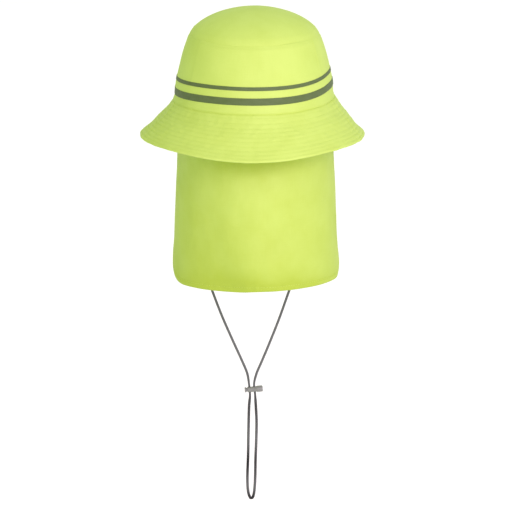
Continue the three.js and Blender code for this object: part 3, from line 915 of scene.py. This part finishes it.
def make_tape(name, low, high, material):
    angle, share = round_the_hat(TAPE_COLUMNS, np.array(TAPE_ROWS))
    height = (low + (high - low) * share) * MM + lift_at(angle, TAPE_LIFT)
    rounded = 1 - TAPE_EDGE_DROP * (np.abs(share - 0.5) * 2) ** 16
    grid = raised(crown_side_point(angle, height), side_lumps(angle, height) + TAPE_FILM * rounded)
    flat = flat_round(angle, MEAN_SIDE_RADIUS, share * (high - low) * MM)
    return cloth_wall(name + "_film", grid, flat, TAPE_FILM + TAPE_SINK, 0 * share, material)


reflective_film = tape_finish()
tapes = {name: make_tape(name, *edges, reflective_film) for name, edges in TAPE_BANDS.items()}


# %% [markdown]
# ## Cord tabs
# Each end of the chin cord is held in a tab, a small strip of the hat's cloth folded over the cord and sewn
# to the inside of the crown. The folded cloth bulges over the cord. The tab is lofted from its sections,
# and short bars of thread close it.

# %% Cord tabs
TAB_CORNERS, TAB_ROUNDING = 0.35, 0.6
TAB_HALF_DEPTH = 0.35 * TAB_DEPTH
TAB_END_SIZE, TAB_END_SLOPE, TAB_END_NARROWER = 0.35, 6, 0.07
TAB_BULGE, BULGE_WIDTH = 0.42, 1.7 * MM
TAB_ROWS = 26
BAR_HEIGHTS = [TAB_TOP - 3 * MM, TAB_TOP - 4.2 * MM, TAB_BOTTOM + 7 * MM, TAB_BOTTOM + 8.2 * MM]
BAR_REACH, BAR_DEPTH = 3.9 * MM, 0.36 * TAB_DEPTH
SMALL_TURN = 0.02


def tab_section(share):
    """A tab's section at a share of its height: a rounded strip, with a bulge over the cord lower down."""
    turns = np.linspace(0, 2 * math.pi, 40, endpoint=False)
    x = TAB_WIDTH / 2 * np.sign(np.cos(turns)) * np.abs(np.cos(turns)) ** TAB_CORNERS
    y = TAB_HALF_DEPTH * np.sign(np.sin(turns)) * np.abs(np.sin(turns)) ** TAB_ROUNDING
    y = y * (1 + TAB_BULGE * bump_at(x, BULGE_WIDTH) * (1 - share) ** 0.5)
    end = min(1, TAB_END_SIZE + TAB_END_SLOPE * min(share, 1 - share))
    return x * (1 - TAB_END_NARROWER * (1 - end)), y * end


def make_tab(name, side):
    angle = side * TAB_ANGLE
    middle = oval(angle, TAB_RADIUS, 0)
    ahead = unit(oval(angle + SMALL_TURN, TAB_RADIUS, 0) - oval(angle - SMALL_TURN, TAB_RADIUS, 0))
    out = np.array([ahead[1], -ahead[0], 0]) * side
    inward = -out * np.sign(out @ middle)
    grid = []
    for share in np.linspace(0, 1, TAB_ROWS):
        x, y = tab_section(share)
        height = TAB_BOTTOM + (TAB_TOP - TAB_BOTTOM) * share
        grid.append(middle + x[:, None] * ahead + y[:, None] * out + [0, 0, height])
    grid = np.array(grid)
    flat = close_columns(np.stack([grid[..., 0] + grid[..., 1], grid[..., 2]], axis=-1))
    marks = {"painted_shade": np.zeros(grid.shape[:2])}
    piece = grid_mesh(name, grid, flat, hi_vis_cloth, marks, caps=True)
    bars = []
    for height in BAR_HEIGHTS:
        steps = np.linspace(-BAR_REACH, BAR_REACH, 9)[:, None]
        path = middle + steps * ahead + BAR_DEPTH * inward + [0, 0, height]
        bars.append((path, np.broadcast_to(inward, path.shape)))
    return piece, bars


tab_left, left_bars = make_tab("cord_tab_left_cloth", -1)
tab_right, right_bars = make_tab("cord_tab_right_cloth", 1)
tab_thread = sew("cord_tab_stitches", left_bars + right_bars)


# %% [markdown]
# ## Chin cord
# Round elastic is a rubber core in a braided sleeve. The sleeve's strands cross in two directions, so the
# tube's radius gets a low relief made of two opposite spirals. The lock and the tabs pinch the soft sleeve,
# and it swells where it hangs free, most of all in the slack loop. The sleeve is a grey yarn. Painted shade
# darkens it along a few stretches of the loop and just below the lock.

# %% Cord finish and cord
CORD_SIDES = 20
BRAID_STRANDS = 4
BRAID_PITCH = 3.2 * MM
BRAID_RELIEF = 0.05
PINCH_HEIGHTS = [-332, -325, -312, -305, -16, -9]
SLEEVE_SWELL = [1.3, 1.0, 1.0, 1.16, 1.16, 1.0]
CORD_GREY = (0.086, 0.098, 0.086)
CORD_PALE = (0.135, 0.153, 0.137)
CORD_SHADE_COLOUR = (0.012, 0.012, 0.012)
# A painted shadow's x, z and reach in millimetres, and how dark it is
PAINTED_CORD_SHADOWS = [(-6.6, -400, 18, 0.95), (-3, -438, 9, 0.9), (2.4, -338, 24, 0.65), (-5.4, -332, 24, 0.6)]


def cord_finish():
    material, tree, shader = new_finish("elastic_braid", 0.75, 0.15)
    flat, _, _ = flat_cloth(tree)
    fibres = streaks(tree, flat, 900, 2500)
    yarn = mix_colours(tree, fibres, CORD_GREY, CORD_PALE)
    # Painted shade: the mark darkens the yarn towards near black.
    darker = mix_colours(tree, mark_value(tree, "cord_painted_shade"), yarn, CORD_SHADE_COLOUR)
    plug(tree, shader.inputs["Base Color"], darker)
    add_bump(tree, shader, fibres, 0.05 * MM, 0.8)
    return material


def make_cord():
    ahead = unit(np.gradient(cord_path, axis=0))
    beside = unit(np.cross(ahead, [0.0, 1.0, 0.0]))
    behind = np.cross(ahead, beside)
    turns = np.arange(CORD_SIDES) / CORD_SIDES * 2 * math.pi
    along = np.arange(len(cord_path)) * CORD_STEP
    spiral = 2 * math.pi * along[:, None] / BRAID_PITCH
    braid = np.sin(BRAID_STRANDS * turns + spiral) * np.sin(BRAID_STRANDS * turns - spiral)
    swell = np.interp(cord_path[:, 2:] / MM, PINCH_HEIGHTS, SLEEVE_SWELL)
    radius = CORD_DIAMETER / 2 * (swell + BRAID_RELIEF * braid)
    section = np.cos(turns)[:, None] * beside[:, None] + np.sin(turns)[:, None] * behind[:, None]
    grid = cord_path[:, None] + radius[..., None] * section
    arc = turns * CORD_DIAMETER / 2
    flat = np.stack(np.meshgrid(arc, along), axis=-1)[..., ::-1]
    flat = np.concatenate([flat, flat[:, :1] + [0, math.pi * CORD_DIAMETER]], axis=1)
    # Painted shade along a few stretches of the loop and just below the lock.
    dark = np.zeros(len(cord_path))
    for x, z, reach, depth in PAINTED_CORD_SHADOWS:
        distance = np.hypot(cord_path[:, 0] - x * MM, cord_path[:, 2] - z * MM)
        dark = np.maximum(dark, depth * bump_at(distance, reach * MM))
    marks = {"cord_painted_shade": np.repeat(dark, CORD_SIDES)}
    return grid_mesh("chin_cord_braid", grid, flat, cord_finish(), marks, caps=True)


chin_cord = make_cord()


# %% [markdown]
# ## Cord lock
# The lock is moulded in grey plastic: a barrel with a thicker closed end, and a spring button that slides
# in its open end. Both have two holes for the cord. The button's holes are slots as long as its way in, so
# the cord stays free at both ends. Each part is turned from a profile with rounded edges, and the holes are
# cut with flared cutters, so their rims are soft as a mould leaves them.

# %% Lock finish
LOCK_GREY = (0.16, 0.18, 0.15)
LOCK_PALE = (0.21, 0.235, 0.195)


def lock_finish():
    material, tree, shader = new_finish("lock_plastic", 0.5, 0.5)
    place = add_node(tree, "TexCoord").outputs["Object"]
    grain = noise(tree, place, 2600, 4.0)
    clouds = noise(tree, place, 160)
    plug(tree, shader.inputs["Base Color"], mix_colours(tree, clouds, LOCK_GREY, LOCK_PALE))
    add_bump(tree, shader, grain, 0.03 * MM, 0.6)
    rough = calculate(tree, "ADD", calculate(tree, "MULTIPLY", grain, 0.25), 0.35)
    plug(tree, shader.inputs["Roughness"], rough)
    return material


# %% Turning and cutting helpers
LOCK_SIDES, HOLE_SIDES = 48, 32
# The lock's sizes, in millimetres
BARREL_LENGTH, BARREL_RADIUS, BARREL_BORE = 16.5, 2.95, 2.3
BARREL_STEP, BARREL_END_RADIUS, BARREL_END_WALL = 1.4, 3.4, 2
BUTTON_STEM, BUTTON_STEM_END, BUTTON_HEAD, BUTTON_HEAD_LENGTH = 2, 4, 2.8, 1.7
BUTTON_TRAVEL, LOCK_CLEARANCE = 0.9, 0.3
HOLE_FLARE, FLARE_DEPTH = 0.5, 0.45


def rings_along(places, radii, columns):
    """A grid of rings round an axis: the place along it, and two coordinates across it."""
    turns = np.arange(columns) / columns * 2 * math.pi
    places, radii = np.asarray(places)[:, None], np.asarray(radii)[:, None]
    return np.stack([places + 0 * turns, radii * np.cos(turns), radii * np.sin(turns)], axis=-1)


def round_corner(x, radius, size, start, end, steps=5):
    """Points of a round corner in a profile. start and end are turns in degrees, with 0 along +x."""
    turns = np.radians(np.linspace(start, end, steps))
    return [(x + size * math.cos(a), radius + size * math.sin(a)) for a in turns]


def cut_cord_hole(piece, x, slot=0.0):
    """Cuts one hole along z, with flared rims. A slot runs on from it towards -x."""
    hole = CORD_DIAMETER / MM / 2 + LOCK_CLEARANCE
    flared = hole + HOLE_FLARE
    outside, rim = BARREL_RADIUS + 0.1, BARREL_RADIUS - FLARE_DEPTH
    heights = [-2 * outside, -outside, -rim, rim, outside, 2 * outside]
    rings = rings_along(heights, [flared, flared, hole, hole, flared, flared], HOLE_SIDES)[..., [1, 2, 0]]
    rings[..., 0] += x - slot * (rings[..., 0] < -1e-6)
    cutter = grid_mesh("cutter", rings * MM, None, caps=True)
    cut = piece.modifiers.new("hole", "BOOLEAN")
    cut.operation, cut.object, cut.solver = "DIFFERENCE", cutter, "EXACT"
    finished = piece.evaluated_get(bpy.context.evaluated_depsgraph_get())
    piece.data = bpy.data.meshes.new_from_object(finished)
    piece.modifiers.clear()
    bpy.data.objects.remove(cutter)


# %% Barrel and button
def barrel_profile():
    end = BARREL_LENGTH / 2
    return [
        (end - BARREL_END_WALL, 0),
        (end - BARREL_END_WALL, BARREL_BORE),
        (-end + 0.3, BARREL_BORE),
        (-end, BARREL_BORE + 0.2),
        *round_corner(-end + 0.35, BARREL_RADIUS - 0.35, 0.35, 180, 90),
        (BARREL_STEP - 0.1, BARREL_RADIUS),
        (BARREL_STEP + 0.25, BARREL_RADIUS + 0.12),
        (BARREL_STEP + 0.7, BARREL_END_RADIUS - 0.07),
        (BARREL_STEP + 1.1, BARREL_END_RADIUS),
        *round_corner(end - 1.2, BARREL_END_RADIUS - 1.2, 1.2, 90, 0, 8),
        (end, 0.8),
        (end - 0.12, 0.7),
        (end - 0.12, 0),
    ]


def button_profile():
    neck = -BARREL_LENGTH / 2 - BUTTON_TRAVEL - LOCK_CLEARANCE
    face = neck - BUTTON_HEAD_LENGTH
    return [
        (face, 0),
        *round_corner(face + 0.6, BUTTON_HEAD - 0.6, 0.6, 180, 90),
        *round_corner(neck - 0.2, BUTTON_HEAD - 0.2, 0.2, 90, 0, 3),
        (neck, BUTTON_STEM),
        (BUTTON_STEM_END, BUTTON_STEM),
        (BUTTON_STEM_END, 0),
    ]


def make_moulded(name, profile, slot, material):
    """A part turned about x from (x, radius) pairs, with its two cord holes, set in its tilted place."""
    places, radii = np.array(profile).T * MM
    piece = grid_mesh(name, rings_along(places, radii, LOCK_SIDES), None)
    for x in (STRAND_LEFT, STRAND_RIGHT):
        cut_cord_hole(piece, x, slot)
    place = Matrix.Translation((LOCK_X * MM, TAB_Y, LOCK_Z * MM))
    piece.data.transform(place @ Matrix.Rotation(-LOCK_TILT, 4, "Y"))
    piece.data.materials.clear()
    piece.data.materials.append(material)
    piece.data.polygons.foreach_set("use_smooth", [True] * len(piece.data.polygons))
    piece.data.set_sharp_from_angle(angle=math.radians(40))
    print(name, "has", len(piece.data.polygons), "faces")
    return piece


lock_plastic = lock_finish()
lock_barrel = make_moulded("lock_barrel_moulded", barrel_profile(), 0, lock_plastic)
lock_button = make_moulded("lock_button_moulded", button_profile(), BUTTON_TRAVEL, lock_plastic)


# %% [markdown]
# ## What moves with what
# Only the lock's button moves as a hard piece. Everything else rides on the hat. Each cloth piece takes the
# place of the plain solid that stands for it in the imported model.

# %% Ride and replace
STANDS_FOR = {
    "crown_side": crown_side,
    "crown_top": crown_top,
    "brim": brim,
    "neck_flap": neck_flap,
    "cord_tab_left": tab_left,
    "cord_tab_right": tab_right,
    "chin_cord": chin_cord,
    "lock_barrel": lock_barrel,
    "lock_button": lock_button,
    **tapes,
}
for node, piece in STANDS_FOR.items():
    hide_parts(node)
for piece in [*STANDS_FOR.values(), brim_thread, under_thread, crown_thread, flap_thread, tab_thread]:
    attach(piece, "button" if piece == lock_button else "hat")

print(len(STANDS_FOR), "pieces stand for nodes of the packed model")


# %% [markdown]
# ## Studio
# The photograph is a catalogue shot on white. One large soft light stands at the camera's right and models
# the form. Pale walls give the rest: the left one is dimmer and a little yellow, so the hat's left side
# falls into soft shade, and the ceiling is a little brighter. The floor is a lit white table, so it stays
# pure white under the hat.

# %% Light and floor
FLOOR_HEIGHT = -0.47
FLOOR_REACH = 30
FLOOR_GLOW = 0.12
WALL_WHITE, WALL_OVERHEAD = 0.94, 1.14
WALL_LEFT = (0.82, 0.83, 0.51)
KEY_POWER, KEY_SIZE, KEY_DISTANCE = 71, 1.8, 3.0
KEY_COLOUR = (1.0, 0.67, 1.08)
KEY_AZIMUTH, KEY_ELEVATION = math.radians(20), math.radians(16)


def ramp(tree, value, start, end, first, last):
    """A smooth change from first to last while the value goes from start to end."""
    ends = {"From Min": start, "From Max": end, "To Min": first, "To Max": last}
    node = add_node(tree, "MapRange", {"Value": value, **ends})
    node.interpolation_type = "SMOOTHSTEP"
    return node.outputs[0]


def make_world():
    world = bpy.data.worlds.new("studio")
    world.use_nodes = True
    tree = world.node_tree
    place = add_node(tree, "TexCoord")
    split = add_node(tree, "SeparateXYZ", {0: place.outputs["Generated"]})
    from_left = ramp(tree, split.outputs["X"], -0.95, 0, 0, 1)
    upward = ramp(tree, split.outputs["Z"], 0.3, 1, 1, WALL_OVERHEAD)
    background = tree.nodes["Background"]
    plug(tree, background.inputs["Color"], mix_colours(tree, from_left, WALL_LEFT, (1.0, 1.0, 1.0)))
    plug(tree, background.inputs["Strength"], calculate(tree, "MULTIPLY", upward, WALL_WHITE))
    bpy.context.scene.world = world


def make_key():
    data = bpy.data.lights.new("key", "AREA")
    data.size, data.energy, data.color = KEY_SIZE, KEY_POWER, KEY_COLOUR
    key = add_object("key", data)
    flat = math.cos(KEY_ELEVATION)
    toward = (math.sin(KEY_AZIMUTH) * flat, -math.cos(KEY_AZIMUTH) * flat, math.sin(KEY_ELEVATION))
    key.location = Vector(toward) * KEY_DISTANCE
    key.rotation_euler = Vector(toward).to_track_quat("Z", "Y").to_euler()


def make_floor():
    corners = np.array([(-1, -1, 0), (1, -1, 0), (1, 1, 0), (-1, 1, 0)])
    material, _, shader = new_finish("studio_floor", 0.9, 0.2)
    shader.inputs["Base Color"].default_value = (0.95, 0.95, 0.95, 1)
    shader.inputs["Emission Color"].default_value = (1, 1, 1, 1)
    shader.inputs["Emission Strength"].default_value = FLOOR_GLOW
    build_mesh("floor", FLOOR_REACH * corners + [0, 0, FLOOR_HEIGHT], [[0, 1, 2, 3]], material)


make_world()
make_key()
make_floor()
bpy.context.scene.view_settings.view_transform = "Standard"
